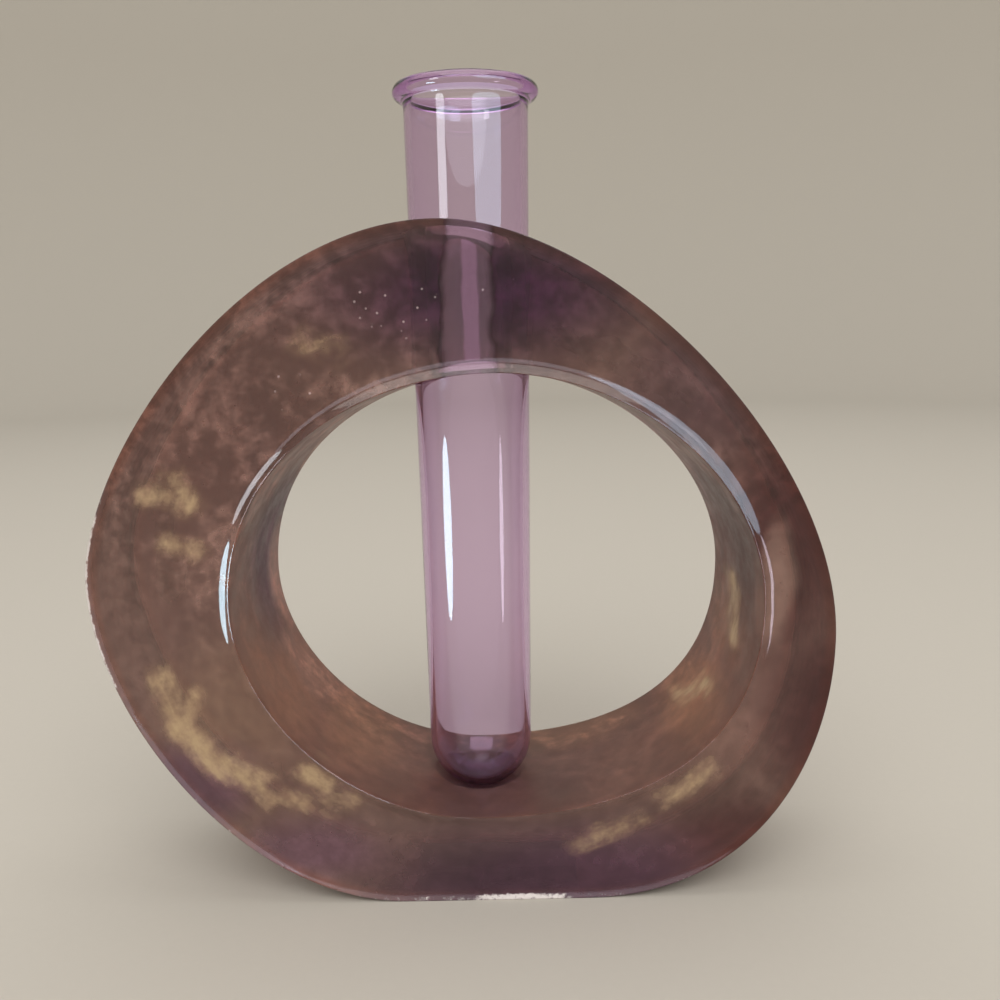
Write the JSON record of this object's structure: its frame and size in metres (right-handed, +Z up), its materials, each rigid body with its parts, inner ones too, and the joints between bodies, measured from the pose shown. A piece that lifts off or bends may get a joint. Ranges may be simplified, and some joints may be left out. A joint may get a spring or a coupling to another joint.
{
  "type": "propagation vase",
  "caption": "Propagation vase: an eccentric cast resin ring on a flat foot holds a tinted round-bottomed tube, which drops through a bore in the crown and lifts out.",
  "frame": {"origin": "on the flat foot, under the tube's axis, midway between the ring's front and back", "axes": "+Z up along the tube; +X to the right seen from the front; the open-poured front face looks towards -Y"},
  "size_m": [0.1489, 0.04, 0.1662],
  "materials": {
    "resin": "glossy translucent cast resin, dusky rose-brown, clouded with plum and gold mica",
    "tube": "clear polished, tinted lilac"
  },
  "bodies": {
    "ring": {"ring_body": "resin"},
    "tube": {"test_tube": "tube"}
  },
  "joints": [
    {"name": "tube_lift", "type": "slide", "parent": "ring", "child": "tube", "axis": [0, 0, 1], "range_m": [0, 0.125]}
  ]
}
